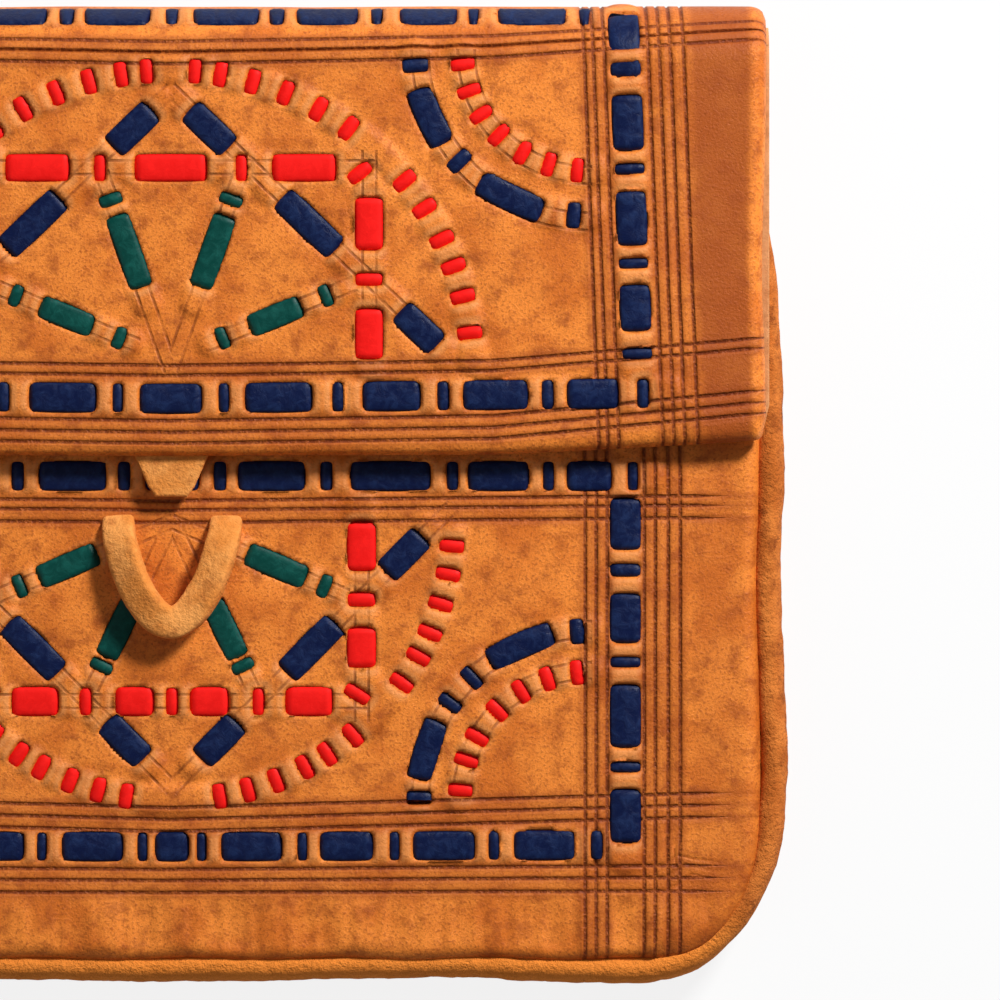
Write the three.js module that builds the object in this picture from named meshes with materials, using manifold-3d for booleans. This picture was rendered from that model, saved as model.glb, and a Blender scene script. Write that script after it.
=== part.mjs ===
// Fold-over leather coin purse with dyed leather strips laced through its flap and its pocket.
// It lies on its back: +X runs across, +Y towards the fold, +Z up. Sizes are in millimetres.
import * as THREE from 'three';
import { mergeVertices } from 'three/addons/utils/BufferGeometryUtils.js';
import Module from 'manifold-3d';

const wasm = await Module();
wasm.setup();

// Overall sizes
const purseWidth = 123.4;
const purseLength = 98;
const purseThickness = 11.5;

// Leathers and the gaps between them
const backThickness = 1.2;
const skinThickness = 0.9;
const liningThickness = 0.5;
const stripThickness = 0.5;
const stripGap = 0.1;
const seamGap = 0.05;
const flapGap = 0.3;

// Flap
const flapInset = 2.3;
const flapReach = 45.1;
const flapCornerRadius = 0.9;
const liningRim = 0.35;

// Pocket
const pocketInset = 2.8;
const pocketMouth = 11.3;
const pocketHem = 2.4;
const pocketCornerRadius = 10;

// Welt round the sides and the bottom
const weltWall = 4.6;
const weltCornerRadius = 14.5;
const weltMouthInset = 3.3;
const weltShoulder = 44;

// Strips, and the windows that show them
const borderWidth = 2.9;
const starWidth = 2.6;
const spokeWidth = 2.4;
const dashWidth = 2.4;
const windowGap = 0.15;
const longWindow = 5.6;
const shortWindow = 1.4;
const barWindow = 7.2;
const tipWindow = 4.6;
const showDepth = 0.1;
const ramp = 0.25;

// Borders of the laced fields, measured in from the edges of their panel
const flapSideBorder = 13.6;
const flapNearBorder = 5.9;
const foldBorder = 5.35;
const pocketSideBorder = 13.5;
const pocketNearBorder = 2;
const pocketFarBorder = 11.4;
const borderEnd = 1.4;

// Half star on each panel: a square, a turned square and spokes inside a circle of dashes
const flapStar = 8.6;
const pocketStar = 6.6;
const flapCircleMargin = 0.75;
const pocketCircleMargin = 4.7;
const circleMargin = 1.8;
const squareChamfer = 2.2;
const starTrim = 2.2;
const starFoot = 0.3;
const spokeAngles = [22.5, 67.5, 112.5, 157.5];
const spokeTip = 3.05;
const circleFoot = 2.5;
const circleGap = 8.5;
const circlePitch = 6.4;
const circleDashes = 6;

// Two arcs round each far corner of a field
const cornerInset = 17.6;
const flapCornerRise = 0.95;
const pocketCornerRise = 16.1;
const cornerBlueRadius = 17;
const cornerRedRadius = 12.6;
const cornerFoot = 1.5;

// Closure: a strap loop on the pocket and a tongue under the flap
const loopSpread = 11;
const loopDrop = 12.7;
const loopRise = 2.4;
const loopWidth = 3.3;
const loopThickness = 1.1;
const slitGap = 0.3;
const tongueRootWidth = 9.2;
const tongueTipWidth = 3.8;
const tongueOut = 4.1;
const tongueTuck = 3.3;
const tongueThickness = 1;

// Levels and edges that follow from the sizes above
const topEdge = purseLength / 2;
const bottomEdge = -purseLength / 2;
const foldRadius = purseThickness / 2;
const foldLine = topEdge - foldRadius;
const upperLevel = skinThickness + stripGap;
const lowerLevel = upperLevel + stripThickness + stripGap;
const liningLevel = lowerLevel + stripThickness + stripGap;
const stackDepth = liningLevel + liningThickness;
const pocketFace = purseThickness - stackDepth - flapGap;
const pocketCeiling = pocketFace - stackDepth;
const mouthEdge = topEdge - pocketMouth;
const flapEdge = topEdge - flapReach;
const pocketBottom = bottomEdge + pocketHem;
const flapHalf = purseWidth / 2 - flapInset;
const pocketHalf = purseWidth / 2 - pocketInset;
const weltMouthHalf = purseWidth / 2 - weltMouthInset;

// Where each panel's lacing lies. The half star opens away from the closure: up on the flap, down on the pocket.
const flapLayout = {
  name: 'flap',
  place: onFlap,
  away: 1,
  star: flapEdge + flapStar,
  circleRadius: foldLine - flapCircleMargin - flapEdge - flapStar,
  spokeWindows: [[12.6, shortWindow], [6.6, barWindow], [1.1, shortWindow]],
  spokeLength: 14,
  cornerX: flapHalf - cornerInset,
  cornerRun: foldLine + flapCornerRise,
  nearBorder: { run: flapEdge + flapNearBorder, half: flapHalf - 11, count: 19 },
  farBorder: { run: foldLine + foldBorder, half: flapHalf - 16.8, count: 17 },
  sideBorder: { x: flapHalf - flapSideBorder, near: flapEdge + 8.7, far: foldLine + 7.55, count: 8 },
};

const pocketLayout = {
  name: 'pocket',
  place: onPocket,
  away: -1,
  star: flapEdge - pocketStar,
  circleRadius: flapEdge - pocketStar - pocketBottom - pocketFarBorder - pocketCircleMargin,
  spokeWindows: [[6, barWindow], [1.1, shortWindow]],
  spokeLength: 10,
  cornerX: pocketHalf - cornerInset,
  cornerRun: pocketBottom + pocketCornerRise,
  nearBorder: { run: flapEdge - pocketNearBorder, half: pocketHalf - 11.3, count: 19 },
  farBorder: { run: pocketBottom + pocketFarBorder, half: pocketHalf - 15.1, count: 17 },
  sideBorder: { x: pocketHalf - pocketSideBorder, near: flapEdge - 3.7, far: pocketBottom + 10.6, count: 7 },
};

const tan = new THREE.MeshStandardMaterial({ color: 0xc8823c, roughness: 0.5, metalness: 0 });
const suede = new THREE.MeshStandardMaterial({ color: 0x9a5226, roughness: 0.95, metalness: 0 });
const plainLeather = new THREE.MeshStandardMaterial({ color: 0xb9783e, roughness: 0.8, metalness: 0 });
const navy = new THREE.MeshStandardMaterial({ color: 0x0a1c55, roughness: 0.45, metalness: 0 });
const red = new THREE.MeshStandardMaterial({ color: 0xd8241a, roughness: 0.45, metalness: 0 });
const green = new THREE.MeshStandardMaterial({ color: 0x04705c, roughness: 0.45, metalness: 0 });

const purse = new THREE.Group();
const flap = new THREE.Group();
purse.add(flap);

function addPiece(parent, name, geometry, material) {
  const mesh = new THREE.Mesh(geometry, material);
  mesh.name = name;
  parent.add(mesh);
}

function solidOf(geometry) {
  const bare = geometry.clone();
  bare.deleteAttribute('normal');
  bare.deleteAttribute('uv');
  const merged = mergeVertices(bare, 1e-4);
  const vertProperties = new Float32Array(merged.attributes.position.array);
  const triVerts = new Uint32Array(merged.index.array);
  return new wasm.Manifold(new wasm.Mesh({ numProp: 3, vertProperties, triVerts }));
}

function geometryOf(solid) {
  const mesh = solid.getMesh();
  const geometry = new THREE.BufferGeometry();
  geometry.setAttribute('position', new THREE.BufferAttribute(new Float32Array(mesh.vertProperties), 3));
  geometry.setIndex(new THREE.BufferAttribute(new Uint32Array(mesh.triVerts), 1));
  geometry.computeVertexNormals();
  return geometry;
}

// A flat sheet of leather between two heights.
function sheet(outline, low, high) {
  const geometry = new THREE.ExtrudeGeometry(outline, { depth: high - low, bevelEnabled: false, curveSegments: 7 });
  geometry.translate(0, 0, low);
  return geometry;
}

// A profile in the YZ plane, drawn out along X over the width given by its half.
function drawnAcross(profile, half) {
  const geometry = new THREE.ExtrudeGeometry(profile, { depth: 2 * half, bevelEnabled: false, curveSegments: 6 });
  const alongX = new THREE.Matrix4().makeBasis(
    new THREE.Vector3(0, 1, 0),
    new THREE.Vector3(0, 0, 1),
    new THREE.Vector3(1, 0, 0),
  );
  geometry.applyMatrix4(alongX);
  geometry.translate(-half, 0, 0);
  return geometry;
}

// A closed solid through a row of four-cornered rings, with its faces turned outwards.
function loft(rings) {
  const corners = rings.flat();
  const size = rings[0].length;
  const faces = [];
  for (let ring = 0; ring < rings.length - 1; ring += 1) {
    for (let corner = 0; corner < size; corner += 1) {
      const here = ring * size + corner;
      const beside = ring * size + ((corner + 1) % size);
      faces.push(here, beside, beside + size, here, beside + size, here + size);
    }
  }
  const last = (rings.length - 1) * size;
  for (let corner = 1; corner < size - 1; corner += 1) {
    faces.push(0, corner + 1, corner, last, last + corner, last + corner + 1);
  }
  let volume = 0;
  for (let face = 0; face < faces.length; face += 3) {
    const [a, b, c] = [corners[faces[face]], corners[faces[face + 1]], corners[faces[face + 2]]];
    volume += a.dot(b.clone().cross(c));
  }
  const outward = volume > 0 ? faces : faces.reverse();
  const geometry = new THREE.BufferGeometry().setFromPoints(corners);
  geometry.setIndex(outward);
  geometry.computeVertexNormals();
  return geometry;
}

// Where a point of the flap lies: run is the distance up the flap, which goes round the fold past the
// fold line, and depth is measured down from the outer face.
function onFlap(x, run, depth) {
  if (run <= foldLine) {
    return new THREE.Vector3(x, run, purseThickness - depth);
  }
  const turn = (run - foldLine) / foldRadius;
  const radius = foldRadius - depth;
  return new THREE.Vector3(x, foldLine + radius * Math.sin(turn), foldRadius + radius * Math.cos(turn));
}

function onPocket(x, run, depth) {
  return new THREE.Vector3(x, run, pocketFace - depth);
}

// One cross-section of a strip or a window, square to its path.
function section(place, path, at, width, top, bottom) {
  const share = THREE.MathUtils.clamp(at / path.getLength(), 0, 1);
  const point = path.getPoint(share);
  const tangent = path.getTangent(share);
  const side = new THREE.Vector2(-tangent.y, tangent.x).multiplyScalar(width / 2);
  const left = point.clone().add(side);
  const right = point.clone().sub(side);
  return [
    place(left.x, left.y, top),
    place(right.x, right.y, top),
    place(right.x, right.y, bottom),
    place(left.x, left.y, bottom),
  ];
}

// Stops from one end of a window to the other, closer together where the path bends or climbs the fold.
function stopsAlong(lace, start, end) {
  const length = lace.path.getLength();
  const from = lace.path.getPoint(start / length);
  const to = lace.path.getPoint(end / length);
  const climbs = Math.max(from.y, to.y) > foldLine && Math.abs(from.y - to.y) > shortWindow;
  const steps = lace.bent || climbs ? Math.max(1, Math.round((end - start) / 2)) : 1;
  return Array.from({ length: steps + 1 }, (unused, step) => start + ((end - start) * step) / steps);
}

function windowCutter(place, lace, hole) {
  const stops = stopsAlong(lace, hole.at - hole.length / 2, hole.at + hole.length / 2);
  const width = lace.width + 2 * windowGap;
  const bottom = upperLevel - stripGap / 2;
  const rings = stops.map((at) => section(place, lace.path, at, width, -skinThickness, bottom));
  return solidOf(loft(rings));
}

// A strip runs under the leather at its level and comes up to the face inside each window: it arches
// through a short window and lies level in a long one.
function stripGeometry(place, lace) {
  const rings = [];
  const addRing = (at, depth) => {
    rings.push(section(place, lace.path, at, lace.width, depth, depth + stripThickness));
  };
  addRing(0, lace.level);
  for (const hole of lace.windows) {
    const start = hole.at - hole.length / 2 + windowGap;
    const end = hole.at + hole.length / 2 - windowGap;
    const shown = hole.length > shortWindow ? stopsAlong(lace, start + ramp, end - ramp) : [hole.at];
    addRing(start, lace.level);
    shown.forEach((at) => addRing(at, showDepth));
    addRing(end, lace.level);
  }
  addRing(lace.path.getLength(), lace.level);
  return loft(rings);
}

function straight(fromX, fromRun, toX, toRun) {
  return new THREE.LineCurve(new THREE.Vector2(fromX, fromRun), new THREE.Vector2(toX, toRun));
}

function arc(x, run, radius, fromDegrees, toDegrees) {
  const from = THREE.MathUtils.degToRad(fromDegrees);
  const to = THREE.MathUtils.degToRad(toDegrees);
  return new THREE.EllipseCurve(x, run, radius, radius, from, to, to < from, 0);
}

function polyline(points) {
  const path = new THREE.CurvePath();
  for (let corner = 0; corner < points.length - 1; corner += 1) {
    path.add(new THREE.LineCurve(points[corner], points[corner + 1]));
  }
  return path;
}

// Windows spaced evenly from the first to the last place: short and long in turn, or all short.
function windowRow(first, last, count, longAt) {
  const pitch = (last - first) / (count - 1);
  return Array.from({ length: count }, (unused, index) => ({
    at: first + pitch * index,
    length: longAt !== null && index % 2 === longAt ? longWindow : shortWindow,
  }));
}

function borderRow(border) {
  const path = straight(-border.half, border.run, border.half, border.run);
  const windows = windowRow(borderEnd, 2 * border.half - borderEnd, border.count, 1);
  return { path, windows, width: borderWidth, level: upperLevel, material: navy };
}

// A side border starts at the fold or the bottom with a long window, so its count sets how it ends.
function borderSide(border, side) {
  const path = straight(side * border.x, border.far, side * border.x, border.near);
  const first = longWindow / 2 + windowGap;
  const last = path.getLength() - (border.count % 2 === 0 ? borderEnd : first);
  const windows = windowRow(first, last, border.count, 0);
  return { path, windows, width: borderWidth, level: upperLevel, material: navy };
}

function squareHalfOf(layout) {
  return (layout.circleRadius - circleMargin) / Math.SQRT2;
}

// The red half square turns its two corners with a chamfer, and a short window shows each turn.
function starSquare(layout) {
  const half = squareHalfOf(layout);
  const turn = half - squareChamfer;
  const point = (x, reach) => new THREE.Vector2(x, layout.star + layout.away * reach);
  const path = polyline([
    point(-half, starFoot),
    point(-half, turn),
    point(-turn, half),
    point(turn, half),
    point(half, turn),
    point(half, starFoot),
  ]);
  const corner = squareChamfer * Math.SQRT2;
  const middle = turn - starFoot + corner + turn;
  const upright = (share) => middle - (share * half - starFoot);
  const oneSide = [
    [0.4 * half, shortWindow],
    [0.7 * half, longWindow],
    [turn + corner / 2, shortWindow],
    [upright(0.7), longWindow],
    [upright(0.44), shortWindow],
    [upright(0.17), longWindow],
  ];
  const after = oneSide.map(([from, length]) => ({ at: middle + from, length }));
  const before = oneSide.map(([from, length]) => ({ at: middle - from, length })).reverse();
  const windows = [...before, { at: middle, length: barWindow }, ...after];
  return { path, windows, width: starWidth, level: upperLevel, material: red };
}

// The turned square runs under the red one where they cross.
function starDiamond(layout, side) {
  const trim = starTrim / Math.SQRT2;
  const far = layout.circleRadius - circleMargin - trim;
  const path = straight(side * trim, layout.star + layout.away * far, side * far, layout.star + layout.away * trim);
  const length = path.getLength();
  const windows = [
    { at: windowGap + 0.6 * tipWindow, length: tipWindow },
    { at: length / 2, length: barWindow },
    { at: length - windowGap - 0.6 * tipWindow, length: tipWindow },
  ];
  return { path, windows, width: starWidth, level: lowerLevel, material: navy };
}

function starSpoke(layout, degrees) {
  const angle = THREE.MathUtils.degToRad(degrees);
  const tip = squareHalfOf(layout) / Math.cos(Math.PI / 8) - spokeTip;
  const reach = (distance) => [
    distance * Math.cos(angle),
    layout.star + layout.away * distance * Math.sin(angle),
  ];
  const path = straight(...reach(tip - layout.spokeLength), ...reach(tip));
  const windows = layout.spokeWindows.map(([back, length]) => ({ at: layout.spokeLength - back, length }));
  return { path, windows, width: spokeWidth, level: upperLevel, material: green };
}

function starCircle(layout) {
  const path = arc(0, layout.star, layout.circleRadius, layout.away * circleFoot, layout.away * (180 - circleFoot));
  const perDegree = path.getLength() / (180 - 2 * circleFoot);
  const angles = [90];
  for (let dash = 0; dash < circleDashes; dash += 1) {
    const offset = circleGap + circlePitch * dash;
    angles.push(45 - offset, 45 + offset, 135 - offset, 135 + offset);
  }
  angles.sort((one, other) => one - other);
  const windows = angles.map((angle) => ({ at: (angle - circleFoot) * perDegree, length: shortWindow }));
  return { path, windows, width: dashWidth, level: upperLevel, material: red, bent: true };
}

// An arc round a far corner, from the far border's side to the side border's.
function cornerArc(layout, side, radius) {
  const inward = side > 0 ? 180 : 0;
  const turn = side * layout.away;
  const path = arc(side * layout.cornerX, layout.cornerRun, radius, inward + turn * cornerFoot,
    inward + turn * (90 - cornerFoot));
  return { path, level: upperLevel, bent: true };
}

function cornerBlue(layout, side) {
  const lace = cornerArc(layout, side, cornerBlueRadius);
  const windows = windowRow(borderEnd, lace.path.getLength() - borderEnd, 5, 1);
  return { ...lace, windows, width: starWidth, material: navy };
}

function cornerRed(layout, side) {
  const lace = cornerArc(layout, side, cornerRedRadius);
  const windows = windowRow(borderEnd, lace.path.getLength() - borderEnd, 7, null);
  return { ...lace, windows, width: dashWidth, material: red };
}

function lacesOf(layout) {
  const laces = {
    border_near: borderRow(layout.nearBorder),
    border_far: borderRow(layout.farBorder),
    star_square: starSquare(layout),
    star_circle: starCircle(layout),
  };
  spokeAngles.forEach((degrees, index) => {
    laces[`star_spoke_${index + 1}`] = starSpoke(layout, degrees);
  });
  for (const [word, side] of [['left', -1], ['right', 1]]) {
    laces[`border_${word}`] = borderSide(layout.sideBorder, side);
    laces[`star_diamond_${word}`] = starDiamond(layout, side);
    laces[`corner_blue_${word}`] = cornerBlue(layout, side);
    laces[`corner_red_${word}`] = cornerRed(layout, side);
  }
  return laces;
}

// Cuts the windows of a panel and lays its strips behind them.
function lacePanel(parent, panel, layout) {
  let cut = panel;
  for (const [name, lace] of Object.entries(lacesOf(layout))) {
    for (const hole of lace.windows) {
      cut = cut.subtract(windowCutter(layout.place, lace, hole));
    }
    addPiece(parent, `${layout.name}_${name}`, stripGeometry(layout.place, lace), lace.material);
  }
  return geometryOf(cut);
}

// A panel's outline with two round lower corners.
function panelOutline(half, bottom, top, radius) {
  const outline = new THREE.Shape();
  outline.moveTo(half, top);
  outline.lineTo(-half, top);
  outline.lineTo(-half, bottom + radius);
  outline.absarc(-half + radius, bottom + radius, radius, Math.PI, 1.5 * Math.PI, false);
  outline.lineTo(half - radius, bottom);
  outline.absarc(half - radius, bottom + radius, radius, 1.5 * Math.PI, 2 * Math.PI, false);
  outline.closePath();
  return outline;
}

// The outer edge of the purse, from its top on the left round to its top on the right. It narrows above
// the shoulder.
function purseEdge(top, topHalf) {
  const half = purseWidth / 2;
  const shoulder = topEdge - weltShoulder;
  const radius = weltCornerRadius;
  const outline = new THREE.Shape();
  outline.moveTo(-topHalf, top);
  outline.lineTo(-half, shoulder);
  outline.lineTo(-half, bottomEdge + radius);
  outline.absarc(-half + radius, bottomEdge + radius, radius, Math.PI, 1.5 * Math.PI, false);
  outline.lineTo(half - radius, bottomEdge);
  outline.absarc(half - radius, bottomEdge + radius, radius, 1.5 * Math.PI, 2 * Math.PI, false);
  outline.lineTo(half, shoulder);
  outline.lineTo(topHalf, top);
  return outline;
}

// A sheet that lies flat up to the fold line and then goes round a quarter of the fold.
function rolledSheet(half, near, outerDepth, innerDepth) {
  const outer = foldRadius - outerDepth;
  const inner = foldRadius - innerDepth;
  const profile = new THREE.Shape();
  profile.moveTo(near, foldRadius + inner);
  profile.lineTo(foldLine, foldRadius + inner);
  profile.absarc(foldLine, foldRadius, inner, Math.PI / 2, 0, true);
  profile.lineTo(foldLine + outer, foldRadius);
  profile.absarc(foldLine, foldRadius, outer, 0, Math.PI / 2, false);
  profile.lineTo(near, foldRadius + outer);
  profile.closePath();
  const plan = panelOutline(half, near, topEdge + flapGap, flapCornerRadius);
  const rolled = solidOf(drawnAcross(profile, half));
  return rolled.intersect(solidOf(sheet(plan, 0, purseThickness + flapGap)));
}

function backPanel() {
  const outline = purseEdge(foldLine, flapHalf);
  outline.closePath();
  return sheet(outline, 0, backThickness);
}

// The soft bend from the back up to where the flap's own quarter begins.
function topFold() {
  const start = foldLine + seamGap;
  const outer = foldRadius - seamGap;
  const inner = foldRadius - backThickness;
  const profile = new THREE.Shape();
  profile.absarc(start, foldRadius - seamGap, outer, 1.5 * Math.PI, 2 * Math.PI, false);
  profile.absarc(start, foldRadius - seamGap, inner - seamGap, 2 * Math.PI, 1.5 * Math.PI, true);
  profile.closePath();
  return drawnAcross(profile, flapHalf);
}

function edgeWelt() {
  const outline = purseEdge(mouthEdge, weltMouthHalf);
  const inner = weltMouthHalf - weltWall;
  const floor = bottomEdge + weltWall;
  const radius = weltCornerRadius - weltWall;
  outline.lineTo(inner, mouthEdge);
  outline.lineTo(inner, floor + radius);
  outline.absarc(inner - radius, floor + radius, radius, 0, -Math.PI / 2, true);
  outline.lineTo(-inner + radius, floor);
  outline.absarc(-inner + radius, floor + radius, radius, -Math.PI / 2, -Math.PI, true);
  outline.lineTo(-inner, mouthEdge);
  outline.closePath();
  return sheet(outline, backThickness + seamGap, pocketCeiling - seamGap);
}

// The strap comes up through two slits and hangs down as a U that stands clear of the pocket.
function loopPath() {
  const side = loopSpread / 2;
  const start = pocketLayout.star;
  const height = pocketFace + loopRise;
  const right = [
    new THREE.Vector3(side, start, pocketFace - upperLevel),
    new THREE.Vector3(side, start - 0.01 * loopDrop, pocketFace + 0.4 * loopRise),
    new THREE.Vector3(0.97 * side, start - 0.16 * loopDrop, height - 0.2 * loopThickness),
    new THREE.Vector3(0.84 * side, start - 0.42 * loopDrop, height),
    new THREE.Vector3(0.66 * side, start - 0.7 * loopDrop, height - 0.2 * loopThickness),
    new THREE.Vector3(0.36 * side, start - 0.92 * loopDrop, height - 0.4 * loopThickness),
  ];
  const middle = new THREE.Vector3(0, start - loopDrop, height - 0.5 * loopThickness);
  const left = right.map((point) => new THREE.Vector3(-point.x, point.y, point.z)).reverse();
  return new THREE.CatmullRomCurve3([...right, middle, ...left]);
}

function loopGeometry() {
  const path = loopPath();
  const steps = 26;
  const rings = [];
  for (let step = 0; step <= steps; step += 1) {
    const point = path.getPoint(step / steps);
    const along = path.getTangent(step / steps);
    const inSlit = step < 2 || step > steps - 2;
    const across = inSlit ? new THREE.Vector3(Math.sign(point.x), 0, 0) : new THREE.Vector3(-along.y, along.x, 0);
    across.normalize();
    const through = along.clone().cross(across).normalize();
    const wide = across.multiplyScalar(loopWidth / 2);
    const thick = through.multiplyScalar(loopThickness / 2);
    rings.push([
      point.clone().add(wide).add(thick),
      point.clone().sub(wide).add(thick),
      point.clone().sub(wide).sub(thick),
      point.clone().add(wide).sub(thick),
    ]);
  }
  return loft(rings);
}

function loopSlit(side) {
  const x = (side * loopSpread) / 2;
  const reach = loopWidth / 2 + slitGap;
  const path = straight(x - reach, pocketLayout.star, x + reach, pocketLayout.star);
  const width = loopThickness + 2 * slitGap;
  const bottom = upperLevel - stripGap / 2;
  const rings = [0, 2 * reach].map((at) => section(onPocket, path, at, width, -skinThickness, bottom));
  return solidOf(loft(rings));
}

function tongueOutline() {
  const root = flapEdge + tongueTuck;
  const tip = flapEdge - tongueOut;
  const round = tongueTipWidth / 4;
  const outline = new THREE.Shape();
  outline.moveTo(tongueRootWidth / 2, root);
  outline.lineTo(-tongueRootWidth / 2, root);
  outline.lineTo(-tongueTipWidth / 2, tip + round);
  outline.quadraticCurveTo(-tongueTipWidth / 2 + round / 4, tip, -tongueTipWidth / 2 + round, tip);
  outline.lineTo(tongueTipWidth / 2 - round, tip);
  outline.quadraticCurveTo(tongueTipWidth / 2 - round / 4, tip, tongueTipWidth / 2, tip + round);
  outline.closePath();
  return outline;
}

// Body of the purse
addPiece(purse, 'back_panel', backPanel(), plainLeather);
addPiece(purse, 'top_fold', topFold(), tan);
addPiece(purse, 'edge_welt', edgeWelt(), suede);
const pocketOutline = panelOutline(pocketHalf, pocketBottom, mouthEdge, pocketCornerRadius);
const frontBlank = solidOf(sheet(pocketOutline, pocketFace - skinThickness, pocketFace));
const frontSlit = frontBlank.subtract(loopSlit(-1)).subtract(loopSlit(1));
addPiece(purse, 'front_panel', lacePanel(purse, frontSlit, pocketLayout), tan);
addPiece(purse, 'front_lining', sheet(pocketOutline, pocketCeiling, pocketFace - liningLevel), plainLeather);
addPiece(purse, 'closure_loop', loopGeometry(), suede);

// Flap
const flapBlank = rolledSheet(flapHalf, flapEdge, 0, skinThickness);
addPiece(flap, 'flap_panel', lacePanel(flap, flapBlank, flapLayout), tan);
const flapLining = rolledSheet(flapHalf + liningRim, flapEdge - liningRim, liningLevel, stackDepth);
addPiece(flap, 'flap_lining', geometryOf(flapLining), plainLeather);
const tongueLow = purseThickness - liningLevel + stripGap;
addPiece(flap, 'closure_tongue', sheet(tongueOutline(), tongueLow, tongueLow + tongueThickness), suede);

export default purse;
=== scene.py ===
import math
import bmesh
import bpy
import numpy as np
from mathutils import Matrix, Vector


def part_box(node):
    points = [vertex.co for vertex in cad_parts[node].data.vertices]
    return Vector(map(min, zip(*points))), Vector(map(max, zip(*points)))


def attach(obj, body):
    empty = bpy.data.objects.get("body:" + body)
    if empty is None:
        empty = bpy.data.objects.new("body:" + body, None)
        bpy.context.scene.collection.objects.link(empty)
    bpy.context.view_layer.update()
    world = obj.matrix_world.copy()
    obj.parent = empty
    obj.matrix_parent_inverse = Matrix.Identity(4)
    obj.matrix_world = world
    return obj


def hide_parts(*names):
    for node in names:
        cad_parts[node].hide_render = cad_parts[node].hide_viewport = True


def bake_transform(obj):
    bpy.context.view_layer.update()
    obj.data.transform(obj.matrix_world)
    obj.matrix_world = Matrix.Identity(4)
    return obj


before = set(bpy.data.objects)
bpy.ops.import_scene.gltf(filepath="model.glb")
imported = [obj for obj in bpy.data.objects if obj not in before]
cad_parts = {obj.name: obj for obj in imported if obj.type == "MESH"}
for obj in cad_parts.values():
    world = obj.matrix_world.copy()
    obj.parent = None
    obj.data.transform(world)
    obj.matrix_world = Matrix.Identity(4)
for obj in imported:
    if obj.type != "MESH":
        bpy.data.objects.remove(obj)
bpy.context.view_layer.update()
mm = 0.001


# Sizes in millimetres, read from the shared frame.
def boxOf(node):
    low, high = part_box(node)
    return [value / mm for value in low], [value / mm for value in high]


flapLow, flapHigh = boxOf("flap_panel")
pocketLow, pocketHigh = boxOf("front_panel")
liningLow, liningHigh = boxOf("front_lining")
tongueLow, tongueHigh = boxOf("closure_tongue")

flapFace = flapHigh[2]
foldRadius = flapFace / 2
foldLine = flapHigh[1] - foldRadius
flapHalf = flapHigh[0]
flapEdge = flapLow[1]
pocketFace = pocketHigh[2]
pocketHalf = pocketHigh[0]
pocketEdge = pocketLow[1]
mouthEdge = pocketHigh[1]
hemDepth = 2.1  # how far the turned edges of both skins reach down


# Places: the flap is measured along its skin, so a run past the fold line goes round the roll.
def onFlap(x, run, depth):
    turn = np.clip((run - foldLine) / foldRadius, 0, math.pi)
    past = np.maximum(run - foldLine - math.pi * foldRadius, 0)
    radius = foldRadius - depth
    y = np.minimum(run, foldLine) + radius * np.sin(turn) - past
    z = foldRadius + radius * np.cos(turn)
    return np.stack([x, y, z], axis=-1)


def onPocket(x, y, depth):
    return np.stack([x, y, pocketFace - depth], axis=-1)


# Paths of the laced strips, as places (x, run) for one running value.
def row(run, lean=0.0):
    return lambda s: np.stack([s, run + lean * np.abs(s)], axis=-1)


def column(x, lean=0.0, start=0.0):
    return lambda s: np.stack([x + lean * (start - s), s], axis=-1)


def spoke(centre, degrees):
    turn = math.radians(degrees)
    return lambda s: np.stack([centre[0] + s * math.cos(turn), centre[1] + s * math.sin(turn)], axis=-1)


def arc(centre, across, along):
    def place(s):
        turn = np.radians(s)
        return np.stack([centre[0] + across * np.cos(turn), centre[1] + along * np.sin(turn)], axis=-1)
    return place


def bothSides(windows):
    return [(-s, length) for s, length in windows if s] + windows


def mirrored(strip):
    path = strip["path"]
    return dict(strip, path=lambda s: path(s) * np.array([-1.0, 1.0]))


def dashes(places, length=1.45):
    return [(place, length) for place in places]


# Flap lacing: places along each path with the length of each cut window, as hand-cut.
flapStar = (0.0, 12.5)
flapCorner = (41.8, 44.2)
flapFar = dict(path=row(48.7), ends=(-43.4, 43.4), width=2.8, windows=bothSides(
    [(0.0, 1.3), (5.45, 6.5), (10.5, 1.5), (15.55, 6.1), (20.5, 1.2), (25.65, 5.7), (30.15, 1.1), (36.0, 6.8),
     (41.25, 1.1)]))
flapNear = dict(path=row(9.6, 0.011), ends=(-49.6, 49.6), width=2.9, windows=bothSides(
    [(0.0, 6.2), (5.3, 1.2), (10.75, 6.7), (16.65, 1.3), (22.0, 5.8), (27.15, 1.3), (32.35, 6.5), (37.55, 1.3),
     (42.05, 5.1), (47.05, 1.3)]))
flapSide = dict(path=column(45.2, 0.041, 45.0), ends=(12.6, 49.9), width=3.0, windows=[
    (46.8, 4.6), (42.4, 1.4), (37.1, 5.6), (32.5, 1.2), (27.55, 5.5), (23.1, 1.2), (18.65, 4.7), (14.1, 1.2)])
flapSquareTop = dict(path=row(32.6), ends=(-17.8, 17.8), width=2.65, windows=bothSides(
    [(0.0, 7.2), (7.05, 1.3), (13.3, 6.4)]))
flapSquareSide = dict(path=column(19.75), ends=(12.8, 30.8), width=2.8, windows=[
    (27.05, 5.3), (21.5, 1.4), (16.05, 5.1)])
flapSquareCorner = dict(path=spoke((18.8, 32.1), -52), ends=(-1.7, 1.7), width=2.6, windows=[(0.0, 1.45)])
flapDiamond = dict(path=spoke((13.75, 27.05), -43.6), ends=(-17.6, 18.4), width=2.7, windows=[
    (-13.7, 5.4), (0.0, 7.4), (15.1, 5.0)])
flapSpokeSteep = dict(path=spoke(flapStar, 70.5), ends=(7.0, 19.4), width=2.35, windows=[(12.5, 7.6), (17.95, 1.3)])
flapSpokeLow = dict(path=spoke((10.4, 17.8), 22.2), ends=(-7.0, 7.0), width=2.25, windows=[
    (-5.7, 1.3), (0.0, 5.6), (5.45, 1.3)])
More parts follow.
